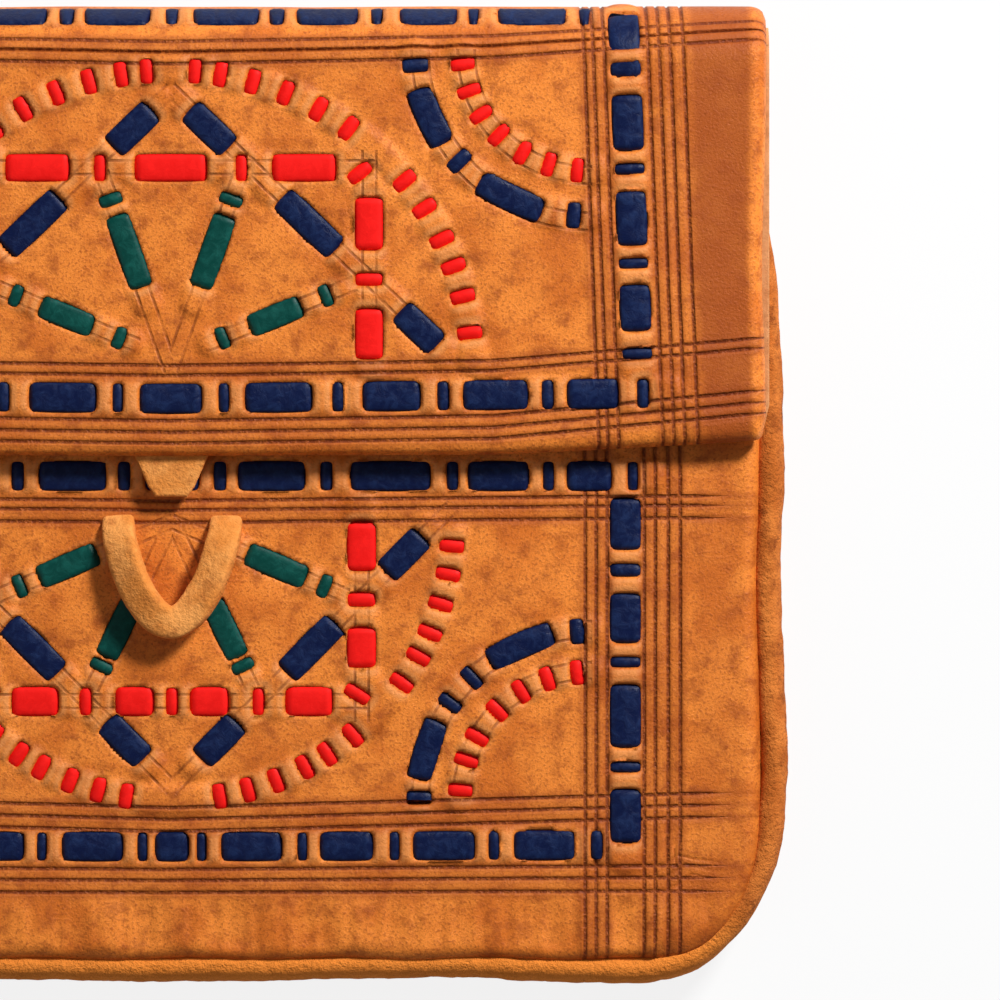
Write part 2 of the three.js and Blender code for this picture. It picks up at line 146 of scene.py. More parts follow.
flapCircle = dict(path=arc(flapStar, 30.0, 29.8), ends=(2.0, 178.0), width=2.5, windows=[
    (90 + sign * angle, 1.45) for angle in (4.6, 9.5, 15.8, 22.4, 29.4, 36.2, 50.9, 57.4, 64.2, 69.8, 75.8, 82.9)
    for sign in (-1, 1)])
flapCornerBlue = dict(path=arc(flapCorner, -17.5, -16.4), ends=(0.0, 90.0), width=2.6, windows=[
    (4.9, 1.5), (23.5, 6.0), (41.8, 1.5), (62.8, 6.9), (84.6, 1.5)])
flapCornerRed = dict(path=arc(flapCorner, -12.8, -11.9), ends=(0.0, 92.0), width=2.45, windows=dashes(
    (6.2, 19.3, 31.8, 44.5, 58.2, 71.2, 84.2), 1.35))

# Pocket lacing, the half star the other way up.
pocketStar = (0.1, -2.7)
pocketCorner = (41.8, -30.5)
pocketFar = dict(path=row(1.9), ends=(-47.8, 47.8), width=2.9, windows=bothSides(
    [(0.0, 5.4), (4.8, 1.4), (9.95, 6.7), (15.45, 1.3), (21.85, 8.0), (28.05, 1.3), (32.65, 6.1), (37.65, 1.2),
     (41.75, 4.5), (46.1, 1.2)]))
pocketNear = dict(path=row(-35.2, 0.004), ends=(-43.6, 43.6), width=2.85, windows=bothSides(
    [(0.0, 3.4), (2.95, 1.1), (7.95, 6.1), (13.05, 1.1), (17.45, 5.3), (22.25, 1.1), (27.2, 6.2), (32.2, 1.2),
     (37.25, 6.1), (42.5, 1.3)]))
pocketSide = dict(path=column(45.35), ends=(-36.2, 0.6), width=3.0, windows=[
    (-2.9, 5.2), (-7.5, 1.4), (-12.3, 5.0), (-16.7, 1.2), (-22.1, 6.3), (-27.2, 1.2), (-32.1, 5.4)])
pocketSquareBase = dict(path=row(-20.65), ends=(-17.0, 17.0), width=2.8, windows=bothSides(
    [(0.0, 1.3), (3.75, 3.9), (8.65, 1.3), (13.7, 4.7)]))
pocketSquareSide = dict(path=column(18.95), ends=(-18.6, -1.2), width=2.8, windows=[
    (-5.15, 4.9), (-10.45, 1.6), (-15.25, 4.1)])
pocketSquareCorner = dict(path=spoke((18.5, -19.9), 58), ends=(-1.7, 1.7), width=2.6, windows=[(0.0, 1.45)])
pocketDiamond = dict(path=spoke((13.9, -15.3), 45.2), ends=(-16.4, 16.6), width=2.7, windows=[
    (-13.05, 5.2), (0.0, 7.0), (13.2, 5.2)])
pocketSpokeLow = dict(path=spoke(pocketStar, -23.0), ends=(6.0, 18.4), width=2.35, windows=[(11.2, 6.4), (16.45, 1.3)])
pocketSpokeSteep = dict(path=spoke(pocketStar, -64.2), ends=(7.6, 18.2), width=2.35, windows=[(11.9, 6.2), (16.0, 1.3)])
pocketCircle = dict(path=arc(pocketStar, 28.0, 27.8), ends=(-177.0, -3.0), width=2.5, windows=[
    (-90 + sign * (90 - angle), 1.45) for angle in (4.9, 10.8, 17.1, 23.5, 28.9, 35.3, 50.1, 56.6, 61.9, 68.4, 74.5, 80.4)
    for sign in (-1, 1)])
pocketCornerBlue = dict(path=arc(pocketCorner, -17.1, 16.9), ends=(0.0, 90.0), width=2.5, windows=[
    (0.7, 1.5), (17.3, 6.2), (35.0, 1.4), (46.2, 1.4), (65.9, 7.0), (85.6, 1.5)])
pocketCornerRed = dict(path=arc(pocketCorner, -13.0, 12.8), ends=(0.0, 90.0), width=2.45, windows=dashes(
    (4.4, 18.1, 29.5, 44.4, 58.0, 70.9, 84.2), 1.4))


def lacingOf(side, far, near, column, squareRow, squareColumn, squareCorner, diamond, steep, low, circle, blue, red):
    square = [squareRow, squareColumn, mirrored(squareColumn), squareCorner, mirrored(squareCorner)]
    return {
        side + "_border_far": ("navy", [far]),
        side + "_border_near": ("navy", [near]),
        side + "_border_right": ("navy", [column]),
        side + "_border_left": ("navy", [mirrored(column)]),
        side + "_star_square": ("red", square),
        side + "_star_diamond_right": ("navy", [diamond]),
        side + "_star_diamond_left": ("navy", [mirrored(diamond)]),
        side + "_star_spoke_1": ("green", [low]),
        side + "_star_spoke_2": ("green", [steep]),
        side + "_star_spoke_3": ("green", [mirrored(steep)]),
        side + "_star_spoke_4": ("green", [mirrored(low)]),
        side + "_star_circle": ("red", [circle]),
        side + "_corner_blue_right": ("navy", [blue]),
        side + "_corner_blue_left": ("navy", [mirrored(blue)]),
        side + "_corner_red_right": ("red", [red]),
        side + "_corner_red_left": ("red", [mirrored(red)]),
    }


flapLacing = lacingOf("flap", flapFar, flapNear, flapSide, flapSquareTop, flapSquareSide, flapSquareCorner, flapDiamond,
                      flapSpokeSteep, flapSpokeLow, flapCircle, flapCornerBlue, flapCornerRed)
pocketLacing = lacingOf("pocket", pocketFar, pocketNear, pocketSide, pocketSquareBase, pocketSquareSide,
                        pocketSquareCorner, pocketDiamond, pocketSpokeSteep, pocketSpokeLow, pocketCircle,
                        pocketCornerBlue, pocketCornerRed)


# Shader maths: a wire wraps one socket, so plain expressions build the node tree.
class Wire:
    def __init__(self, tree, socket=None):
        self.tree = tree
        self.socket = socket

    def node(self, kind, settings=None, inputs=None, out=0):
        made = self.tree.nodes.new(kind)
        for name, value in (settings or {}).items():
            if name == "stops":
                elements = made.color_ramp.elements
                while len(elements) < len(value):
                    elements.new(1.0)
                for element, (place, colour) in zip(elements, value):
                    element.position = place
                    element.color = (*colour, 1.0)
            else:
                setattr(made, name, value)
        for key, value in (inputs or {}).items():
            if isinstance(value, Wire):
                self.tree.links.new(value.socket, made.inputs[key])
            else:
                made.inputs[key].default_value = value
        return Wire(self.tree, made.outputs[out])

    def maths(self, operation, *others):
        values = dict(enumerate((self, *others)))
        return self.node("ShaderNodeMath", {"operation": operation}, values)

    def __add__(self, other):
        return self.maths("ADD", other)

    __radd__ = __add__

    def __mul__(self, other):
        return self.maths("MULTIPLY", other)

    __rmul__ = __mul__

    def __sub__(self, other):
        return self.maths("SUBTRACT", other)

    def __rsub__(self, other):
        return (self * -1.0) + other

    def __truediv__(self, other):
        return self.maths("DIVIDE", other)

    def size(self):
        return self.maths("ABSOLUTE")

    def above(self, other):
        return self.maths("MAXIMUM", other)

    def below(self, other):
        return self.maths("MINIMUM", other)

    def ramp(self, low, high, start=0.0, end=1.0):
        inputs = {"Value": self, "From Min": low, "From Max": high, "To Min": start, "To Max": end}
        return self.node("ShaderNodeMapRange", {"interpolation_type": "SMOOTHSTEP"}, inputs)

    def blend(self, first, second):
        return self.node("ShaderNodeMix", {"data_type": "RGBA"}, {0: self, 6: first, 7: second}, 2)

    def noise(self, place, scale, detail=2.0, roughness=0.55, distortion=0.0):
        inputs = {"Vector": place, "Scale": scale, "Detail": detail, "Roughness": roughness, "Distortion": distortion}
        return self.node("ShaderNodeTexNoise", {}, inputs)

    def stretched(self, place, scale):
        return self.node("ShaderNodeVectorMath", {"operation": "MULTIPLY"}, {0: place, 1: scale})


def colour(red, green, blue):
    return (red, green, blue, 1.0)


def newMaterial(name):
    material = bpy.data.materials.new(name)
    material.use_nodes = True
    return material, Wire(material.node_tree), material.node_tree.nodes["Principled BSDF"]


def connect(base, shader, inputs):
    for key, value in inputs.items():
        if isinstance(value, Wire):
            base.tree.links.new(value.socket, shader.inputs[key])
        else:
            shader.inputs[key].default_value = value


def bumped(base, height, distance, strength=1.0):
    return base.node("ShaderNodeBump", {}, {"Height": height, "Distance": distance, "Strength": strength})


# Leather: the skin's own place in millimetres rides on it as an attribute.
# The bridge colour is a painted highlight for the raised leather bridges between windows.
tanLook = dict(body=(0.68, 0.165, 0.018), pale=(0.90, 0.262, 0.036), brown=(0.34, 0.066, 0.009), score=(0.15, 0.022, 0.005),
               bridge=(0.80, 0.30, 0.085), roughness=0.46, grain=0.4)
flapScores = dict(
    columns=(41.2, 42.1, 43.2, 47.6, 48.7, 49.8, 51.1), lean=0.038, leanStart=42.8, guideHalf=0.68, arcSide=1.0,
    fadeStart=57.0, fade=0.05,
    rows=((45.2, 0.02, 32.0, 0.055), (44.1, 0.02, 32.0, 0.055), (42.9, 0.02, 32.0, 0.055),
          (12.85, 0.015, 32.0, 0.07), (11.85, 0.015, 32.0, 0.07),
          (7.35, 0.015, 32.0, 0.08), (6.2, 0.015, 32.0, 0.08), (5.1, 0.015, 32.0, 0.08)),
    guides=((0.0, 32.6, 20.4, 32.6), (19.75, 13.8, 19.75, 34.2), (0.0, 40.3, 26.6, 15.0),
            (0.0, 12.5, 6.9, 32.0), (3.4, 14.9, 18.2, 21.0)),
    arcs=((41.8, 44.2, 17.0), (41.8, 44.2, 12.4)))
pocketScores = dict(
    columns=(41.3, 42.4, 43.5, 47.2, 48.3, 49.6, 50.8), lean=0.0, leanStart=0.0, guideHalf=0.68, arcSide=-1.0, fadeStart=52.2, fade=0.06,
    rows=((-0.6, 0.009, 60.0, 0.0), (-1.55, 0.009, 60.0, 0.0), (-2.8, 0.009, 60.0, 0.0),
          (-31.3, 0.027, 60.0, 0.0), (-32.5, 0.027, 60.0, 0.0), (-33.7, 0.027, 60.0, 0.0),
          (-37.5, 0.008, 60.0, 0.0), (-38.6, 0.006, 60.0, 0.0), (-39.8, 0.003, 60.0, 0.0)),
    guides=((0.0, -20.65, 19.6, -20.65), (18.95, -22.6, 18.95, -3.0), (0.0, -29.3, 28.0, -1.2),
            (0.0, -2.7, 17.4, -10.1), (0.0, -2.7, 8.0, -19.3)),
    arcs=((41.8, -30.5, 17.0), (41.8, -30.5, 12.9)))


def skinMaterial(name, look, scores=None):
    material, base, shader = newMaterial(name)
    place = base.node("ShaderNodeAttribute", {"attribute_name": "leatherPlace"}, out=1)
    burnish = base.node("ShaderNodeAttribute", {"attribute_name": "burnish"}, out=2)
    stretch = base.node("ShaderNodeAttribute", {"attribute_name": "stretch"}, out=2)
    mottle = base.noise(place, 0.14, 5.0, 0.6)
    patch = base.noise(place, 0.45, 4.0, 0.65)
    grain = base.noise(place, 3.4, 4.0, 0.62)
    pores = base.node("ShaderNodeTexVoronoi", {}, {"Vector": place, "Scale": 2.3})
    tone = mottle.ramp(0.36, 0.60).blend(colour(*look["body"]), colour(*look["pale"]))
    tone = (patch.ramp(0.45, 0.72) * 0.74).blend(tone, colour(*look["brown"]))
    tone = (grain.ramp(0.48, 0.70) * 0.68).blend(tone, colour(*look["brown"]))
    # Painted shade: this attribute darkens the leather inside and round the windows and under the hem; it also carries
    # darker brown bands along the side margins and near the pocket's edges.
    tone = (burnish.ramp(0.0, 1.0) * 0.9).blend(tone, colour(*look["brown"]))
    # Painted highlight: the raised bridges between windows are lightened toward the bridge colour.
    tone = (stretch * 0.75).blend(tone, colour(*look["bridge"]))
    height = grain * 1.0 + pores.ramp(0.0, 0.34) * 0.22 + patch * 0.5
    if scores:
        parts = place.node("ShaderNodeSeparateXYZ", {}, {"Vector": place}, 0)
        across = parts.size()
        run = place.node("ShaderNodeSeparateXYZ", {}, {"Vector": place}, 1)
        wander = (base.noise(place, 0.16, 2.0) - 0.5) * 0.1
        lean = (run - scores["leanStart"]) * scores["lean"] + across + wander
        line = None
        for x in scores["columns"]:
            near = (lean - x).size()
            line = near if line is None else line.below(near)
        for start, slope, knee, more in scores["rows"]:
            level = across * slope + (across - knee).above(0.0) * more + start
            fade = (across - scores["fadeStart"]).above(0.0) * scores["fade"]
            line = line.below((run - level + wander).size() + fade)
        guide = None
        for ax, ay, bx, by in scores["guides"]:
            length = math.hypot(bx - ax, by - ay)
            dx, dy = (bx - ax) / length, (by - ay) / length
            along = (across - ax) * dx + (run - ay) * dy
            off = ((run - ay) * dx - (across - ax) * dy).size() - scores["guideHalf"]
            off = (off + wander * 0.4).size().above((along - length / 2).size() - length / 2)
            guide = off if guide is None else guide.below(off)
        for cx, cy, radius in scores["arcs"]:
            far = ((across - cx) * (across - cx) + (run - cy) * (run - cy)).maths("SQRT")
            off = ((far - radius).size() - scores["guideHalf"] * 1.25).size()
            guide = guide.below(off.above(across - cx).above((run - cy) * scores["arcSide"]))
        dotted = base.noise(place, 2.6, 2.0).ramp(0.3, 0.62, 0.45, 1.0)
        groove = line.ramp(0.07, 0.27, 1.0, 0.0) * dotted
        faint = base.noise(place, 0.5, 2.0).ramp(0.35, 0.65, 0.2, 0.75)
        groove = groove.above(guide.ramp(0.04, 0.22, 1.0, 0.0) * faint)
        band = line.ramp(0.2, 1.0, 1.0, 0.0)
        tone = (band * 0.5).blend(tone, colour(*look["brown"]))
        tone = (groove * 0.85).blend(tone, colour(*look["score"]))
        height = height - groove * 1.2
    gloss = grain.ramp(0.3, 0.7, look["roughness"] - 0.06, look["roughness"] + 0.12)
    connect(base, shader, {"Base Color": tone, "Roughness": gloss, "Normal": bumped(base, height, 0.00012, look["grain"] * 2),
                           "Specular IOR Level": 0.2})
    return material


stripLooks = {
    "navy": dict(body=(0.003, 0.008, 0.045), pale=(0.008, 0.022, 0.085), roughness=0.4, crease=0.9),
    "red": dict(body=(0.86, 0.006, 0.004), pale=(0.97, 0.010, 0.007), roughness=0.6, crease=0.35),
    "green": dict(body=(0.001, 0.050, 0.040), pale=(0.003, 0.088, 0.070), roughness=0.42, crease=0.5),
}


def stripMaterial(name, look):
    material, base, shader = newMaterial(name)
    place = base.node("ShaderNodeTexCoord", out=3)
    fibre = base.noise(place, 1500.0, 4.0, 0.6)
    creases = base.noise(base.stretched(place, (1.0, 1.0, 0.4)), 900.0, 5.0, 0.7, 0.6)
    tone = creases.ramp(0.4, 0.72).blend(colour(*look["body"]), colour(*look["pale"]))
    gloss = creases.ramp(0.3, 0.7, look["roughness"] - 0.1, look["roughness"] + 0.15)
    height = creases * 1.0 + fibre * 0.4
    connect(base, shader, {"Base Color": tone, "Roughness": gloss, "Specular IOR Level": 0.15,
                           "Normal": bumped(base, height, 0.00012, look["crease"])})
    return material


suedeLooks = {
    "welt": dict(body=(0.50, 0.125, 0.018), pale=(0.70, 0.205, 0.036), dark=(0.18, 0.034, 0.006), nap=1.0,
                 paintedLitBottom=(0.98, 0.30, 0.04)),
    "loop": dict(body=(0.74, 0.25, 0.046), pale=(0.90, 0.37, 0.095), dark=(0.44, 0.13, 0.026), nap=0.7),
    "lining": dict(body=(0.58, 0.24, 0.09), pale=(0.70, 0.33, 0.14), dark=(0.36, 0.13, 0.04), nap=0.4),
}


def suedeMaterial(name, look):
    material, base, shader = newMaterial(name)
    place = base.node("ShaderNodeTexCoord", out=3)
    cloud = base.noise(place, 260.0, 5.0, 0.65)
    nap = base.noise(place, 2400.0, 3.0, 0.7)
    tone = cloud.ramp(0.36, 0.66).blend(colour(*look["body"]), colour(*look["pale"]))
    tone = (base.noise(place, 480.0, 4.0, 0.7).ramp(0.48, 0.74) * 0.75).blend(tone, colour(*look["dark"]))
    tone = (nap.ramp(0.5, 0.75) * 0.3).blend(tone, colour(*look["dark"]))
    # Painted light: the welt is made lighter towards its lower side, where the panel shades it from the key light.
    if "paintedLitBottom" in look:
        low = base.node("ShaderNodeSeparateXYZ", {}, {"Vector": place}, 1).ramp(-0.040, -0.0465, 0.0, 0.62)
        tone = low.blend(tone, colour(*look["paintedLitBottom"]))
    connect(base, shader, {"Base Color": tone, "Roughness": 0.92, "Specular IOR Level": 0.15,
                           "Normal": bumped(base, nap + cloud * 0.6, 0.0003, look["nap"])})
    return material


flapLeather = skinMaterial("flapLeather", tanLook, flapScores)
pocketLeather = skinMaterial("pocketLeather", tanLook, pocketScores)
plainLeather = skinMaterial("plainLeather", tanLook)
stripMaterials = {name: stripMaterial(name + "Strip", look) for name, look in stripLooks.items()}
suedes = {name: suedeMaterial(name + "Suede", look) for name, look in suedeLooks.items()}
print("materials made")


# Meshes: closed pieces in millimetres, turned into metres as they are made.
def piece(name, points, faces, material, attributes=None):
    mesh = bpy.data.meshes.new(name)
    mesh.from_pydata((np.asarray(points) * mm).tolist(), [], faces)
    for key, values in (attributes or {}).items():
        kind = "FLOAT_VECTOR" if values.ndim == 2 else "FLOAT"
        made = mesh.attributes.new(key, kind, "POINT")
        made.data.foreach_set("vector" if values.ndim == 2 else "value", values.astype(np.float32).ravel())
    mesh.materials.append(material)
    build = bmesh.new()
    build.from_mesh(mesh)
    bmesh.ops.recalc_face_normals(build, faces=build.faces)
    build.to_mesh(mesh)
    build.free()
    mesh.shade_smooth()
    made = bpy.data.objects.new(name, mesh)
    bpy.context.scene.collection.objects.link(made)
    return made


def stepBetween(low, high, value):
    t = np.clip((value - low) / (high - low), 0, 1)
    return t * t * (3 - 2 * t)


def windowPlaces(lacing):
    found = []
    for tone, strips in lacing.values():
        for strip in strips:
            for s, length in strip["windows"]:
                middle = strip["path"](np.array(s))
                ahead = strip["path"](np.array(s + 0.01)) - strip["path"](np.array(s - 0.01))
                turn = math.atan2(ahead[1], ahead[0])
                found.append((middle[0], middle[1], turn, length / 2, strip["width"] / 2))
    return found


# Signed distance to one window with rounded corners, and the way out of it.
def windowField(x, run, window):
    cx, cy, turn, halfLength, halfWidth = window
    round = min(0.5 if halfWidth > 1.37 else 0.28, 0.5 * min(halfLength, halfWidth))
    dx, dy = x - cx, run - cy
    u = dx * math.cos(turn) + dy * math.sin(turn)
    v = -dx * math.sin(turn) + dy * math.cos(turn)
    bulge = lip["bulge"] * min(1.0, halfLength / 2)
    qu = np.abs(u) - (halfLength - round) - bulge * np.clip(1 - (v / halfWidth) ** 2, 0, 1)
    qv = np.abs(v) - (halfWidth - round) - bulge * np.clip(1 - (u / halfLength) ** 2, 0, 1)
    outside = np.hypot(np.maximum(qu, 0), np.maximum(qv, 0))
    distance = outside + np.minimum(np.maximum(qu, qv), 0) - round
    corner = (qu > 0) & (qv > 0)
    nu = np.where(corner, qu / np.maximum(outside, 1e-9), (qu > qv).astype(float)) * np.sign(u)
    nv = np.where(corner, qv / np.maximum(outside, 1e-9), (qv >= qu).astype(float)) * np.sign(v)
    nx = nu * math.cos(turn) - nv * math.sin(turn)
    ny = nu * math.sin(turn) + nv * math.cos(turn)
    return distance, nx, ny


def roundedCorner(x, run, sideDistance, endDistance, across, along):
    a = np.clip(1 - sideDistance / across, 0, None)
    b = np.clip(1 - endDistance / along, 0, None)
    inside = (a > 0) & (b > 0)
    shrink = np.where(inside, np.maximum(a, b) / np.maximum(np.hypot(a, b), 1e-9), 1.0)
    return np.where(inside, np.sign(x) * a * (1 - shrink) * across, 0.0), np.where(inside, b * (1 - shrink) * along, 0.0)


lip = dict(depth=0.2, reach=0.4, wall=1.25, wallWidth=0.2, bulge=0.14, snap=0.6)


track = dict(rise=0.36, spare=0.1, fade=0.6)


def liftTracks(x, run, height, lacing):
    over = np.zeros(x.shape)
    for tone, strips in lacing.values():
        for strip in strips:
            line = strip["path"](np.linspace(*strip["ends"], 240))
            half = strip["width"] / 2 + track["spare"]
            reach = half + track["fade"]
            low, high = line.min(axis=0) - reach, line.max(axis=0) + reach
            near = (x > low[0]) & (x < high[0]) & (run > low[1]) & (run < high[1])
            away = np.hypot(x[near][:, None] - line[None, :, 0], run[near][:, None] - line[None, :, 1]).min(axis=1)
            over[near] = np.maximum(over[near], stepBetween(reach, half - track["fade"], away))
    height += track["rise"] * over
    return over


def cutWindows(x, run, height, shade, windows, step):
    nearest = np.full(x.shape, 9.0)
    for window in windows:
        reach = math.hypot(window[3], window[4]) + 1.4
        near = (np.abs(x - window[0]) < reach) & (np.abs(run - window[1]) < reach)
        distance, nx, ny = windowField(x[near], run[near], window)
        snap = np.abs(distance) < lip["snap"] * step
        x[near] -= np.where(snap, nx * distance, 0)
        run[near] -= np.where(snap, ny * distance, 0)
        distance = np.where(snap, 0, distance)
        nearest[near] = np.minimum(nearest[near], distance)
    height -= lip["depth"] * np.exp(-np.maximum(nearest, 0) / lip["reach"])
    height -= lip["wall"] * stepBetween(0.0, lip["wallWidth"], -nearest)
    # Painted shade: the leather is darkened inside each window and in a thin line round its edge, where the strips
    # shade the cut.
    shade += 0.75 * (nearest < -0.02) + 0.2 * np.exp(-np.maximum(nearest, 0) / 0.12)
    return nearest


def ripple(x, run, scale, seed):
    local = np.random.default_rng(seed)
    total = np.zeros(x.shape)
    for octave in range(4):
        for wave in range(3):
            angle, phase = local.uniform(0, 2 * math.pi, 2)
            size = 2 * math.pi / (scale / 1.7 ** octave)
            total += np.sin((x * math.cos(angle) + run * math.sin(angle)) * size + phase) / 1.6 ** octave
    return total / 5


# Scored lines: rows and columns of the mesh run along them, so each groove is cut in the surface.
score = dict(half=0.2, depth=0.17, clear=0.32)


def linedUp(values, lines):
    kept = [value for value in values if np.abs(np.subtract(lines, value)).min() > score["clear"]]
    return np.sort(np.concatenate([kept] + [[line - score["half"], line, line + score["half"]] for line in lines]))


def grooves(values, lines):
    away = np.abs(values[..., None] - np.array(lines)).min(axis=-1)
    return score["depth"] * np.clip(1 - away / score["half"], 0, 1)


def rowLift(x, run, table):
    slope = np.interp(run, table["at"], table["slope"])
    more = np.interp(run, table["at"], table["more"])
    return slope * np.abs(x) + more * np.maximum(np.abs(x) - table["knee"], 0)


# One skin: a fine top with windows, turned edges and a plain under side, closed all round.
def skin(name, columns, rows, shape, place, lacing, step, material):
    x, run = np.meshgrid(columns, rows)
    x, run = x.astype(float), run.astype(float)
    shade = np.zeros(x.shape)
    height = np.zeros(x.shape)
    x, run, height, shade = shape(x, run, height, shade)
    over = liftTracks(x, run, height, lacing)
    nearest = cutWindows(x, run, height, shade, windowPlaces(lacing), step)
    # Painted highlight: the raised leather bridges next to the windows, over the strips' tracks, are lightened.
    stretch = over * stepBetween(1.1, 0.35, nearest) * (nearest > 0)
    top = place(x, run, -height)
    down, over = x.shape
    index = np.arange(down * over).reshape(down, over)
    faces = np.stack([index[:-1, :-1], index[:-1, 1:], index[1:, 1:], index[1:, :-1]], axis=-1).reshape(-1, 4).tolist()
    rim = np.concatenate([index[0, :-1], index[:-1, -1], index[-1, :0:-1], index[:0:-1, 0]])
    under = place(x, run, np.full(x.shape, hemDepth)).reshape(-1, 3)[rim]
    lower = down * over + np.arange(len(rim))
    nextRim, nextLower = np.roll(rim, -1), np.roll(lower, -1)
    faces += np.stack([rim, lower, nextLower, nextRim], axis=-1).tolist()
    right = lower[over - 1:over - 1 + down]
    left = np.concatenate([lower[:1], lower[:-down:-1]])
    faces.append([int(v) for v in np.concatenate([lower[:over], [right[1], left[1]]])])
    for i in range(1, down - 2):
        faces.append([int(left[i]), int(right[i]), int(right[i + 1]), int(left[i + 1])])
    faces.append([int(v) for v in np.concatenate([lower[over + down - 2:2 * over + down - 2], [left[-2], right[-2]]])])
    points = np.concatenate([top.reshape(-1, 3), under])
    spot = np.stack([x, run, height], axis=-1).reshape(-1, 3)
    # The under side of the hem gets 0.2 more painted shade.
    attributes = {"leatherPlace": np.concatenate([spot, spot[rim] - [0, 0, hemDepth]]),
                  "stretch": np.concatenate([stretch.ravel(), np.zeros(len(rim))]),
                  "burnish": np.clip(np.concatenate([shade.ravel(), shade.ravel()[rim] + 0.2]), 0, 1)}
    return piece(name, points, faces, material, attributes)


def edgeRoll(distance, radius):
    inside = np.clip(radius - distance, 0, radius)
    return radius - np.sqrt(np.maximum(radius ** 2 - inside ** 2, 0))


flapRowLines = [line[0] for line in flapScores["rows"]]
flapLift = dict(at=(3.9, 5.1, 7.35, 9.6, 11.85, 12.85, 20.0, 36.0, 42.9, 45.2, 48.0, 50.0), knee=32.0,
                slope=(0.004, 0.015, 0.015, 0.013, 0.015, 0.015, 0.0, 0.0, 0.02, 0.02, 0.008, 0.0),
                more=(0.05, 0.08, 0.08, 0.075, 0.07, 0.07, 0.0, 0.0, 0.055, 0.055, 0.02, 0.0))
flapSkinLook = dict(step=0.29, roundEdge=1.5, endEdge=1.0, corner=1.3, backReach=4.0, seam=0.8)


def shapeFlap(x, run, height, shade):
    side = flapHalf - np.abs(x)
    end = run - flapEdge
    pullX, pullY = roundedCorner(x, run, side, end, flapSkinLook["corner"], flapSkinLook["corner"])
    lift = rowLift(x, run, flapLift)
    cut = np.maximum(grooves(np.abs(x), flapScores["columns"]), grooves(run, flapRowLines))
    height -= cut * stepBetween(0.3, 1.6, side)
    shear = np.sign(x) * flapScores["lean"] * (flapScores["leanStart"] - run)
    shear *= stepBetween(30.0, 40.0, np.abs(x)) * stepBetween(59.4, 52.4, np.abs(x)) * (run < foldLine + 12)
    waist = -0.45 * np.exp(-((run - 22) / 12) ** 2) * (np.abs(x) / flapHalf) ** 6
    height -= edgeRoll(side, flapSkinLook["roundEdge"]) * 0.85
    height -= edgeRoll(end, flapSkinLook["endEdge"]) * 0.9
    height += 0.09 * ripple(x, run, 26, 3) * stepBetween(0.0, 3.0, side)
    # A darker brown band along the flap's side margins.
    margin = stepBetween(50.9, 52.4, np.abs(x)) * stepBetween(0.9, 2.2, side)
    shade += 0.8 * margin
    return x - pullX + shear + np.sign(x) * waist, run + pullY + lift, height, shade


flapColumns = np.linspace(-flapHalf, flapHalf, int(2 * flapHalf / flapSkinLook["step"]))
flapColumns = linedUp(flapColumns, [sign * line for line in flapScores["columns"] for sign in (-1, 1)])
flatEnd = foldLine + math.pi * foldRadius / 2
flapRows = np.concatenate([np.arange(flapEdge, flatEnd, flapSkinLook["step"]),
                           np.linspace(flatEnd, foldLine + math.pi * foldRadius + flapSkinLook["backReach"], 18)])
flapRows = linedUp(flapRows, flapRowLines)
seamRow = int(np.searchsorted(flapRows, foldLine + flapSkinLook["seam"]))
flapSkin = skin("flapSkin", flapColumns, flapRows[:seamRow + 1], shapeFlap, onFlap, flapLacing, flapSkinLook["step"],
                flapLeather)
foldSkin = skin("foldSkin", flapColumns, flapRows[seamRow:], shapeFlap, onFlap, flapLacing, flapSkinLook["step"],
                flapLeather)

pocketRowLines = [line[0] for line in pocketScores["rows"]]
pocketLift = dict(at=(-46.6, -39.8, -38.6, -37.5, -35.2, -33.7, -31.3, -24.0, -8.0, -2.8, -0.6, 2.0), knee=60.0,
                  slope=(0.0, 0.003, 0.006, 0.008, 0.012, 0.027, 0.027, 0.0, 0.0, 0.009, 0.009, 0.0),
                  more=(0.0,) * 12)
pocketSkinLook = dict(step=0.29, roundEdge=1.5, cornerAcross=10.5, cornerAlong=13.0, wave=0.16)


def shapePocket(x, y, height, shade):
    side = pocketHalf - np.abs(x)
    end = y - pocketEdge
    pullX, pullY = roundedCorner(x, y, side, end, pocketSkinLook["cornerAcross"], pocketSkinLook["cornerAlong"])
    fade = stepBetween(0.3, 1.6, np.minimum(side, end))
    across = grooves(y, pocketRowLines) * stepBetween(56.5, 52.5, np.abs(x))
    height -= np.maximum(grooves(np.abs(x), pocketScores["columns"]), across) * fade
    x, y = x - pullX, y + pullY + rowLift(x, y, pocketLift)
    cornerX = np.clip(1 - side / pocketSkinLook["cornerAcross"], 0, None)
    cornerY = np.clip(1 - end / pocketSkinLook["cornerAlong"], 0, None)
    edge = np.minimum(side, end)
    inCorner = (cornerX > 0) & (cornerY > 0)
    edge = np.where(inCorner, (1 - np.maximum(cornerX, cornerY)) * 9.0, edge)
    waist = -0.35 * np.exp(-((y + 9) / 9) ** 2) * (np.abs(x) / pocketHalf) ** 6
    height -= edgeRoll(np.minimum(edge, 9), pocketSkinLook["roundEdge"])
    height += 0.1 * ripple(x, y, 24, 5) * stepBetween(0.0, 3.0, edge)
    wrinkles = ripple(x, 0.16 * y, 6.5, 9)
    height += 0.55 * wrinkles * stepBetween(-39.0, -42.5, y) * stepBetween(0.4, 2.0, edge)
    wave = pocketSkinLook["wave"] * np.sin(x * 0.42 + 1.0) * stepBetween(4.0, 0.0, end)
    # A darker brown band along the pocket's side margins, and darker leather within 1.8 mm of its edges.
    shade += 0.28 * stepBetween(51.0, 53.0, np.abs(x)) * stepBetween(1.0, 2.4, side)
    shade += 0.3 * stepBetween(1.8, 0.3, edge)
    return x + np.sign(x) * waist, y + wave, height, shade


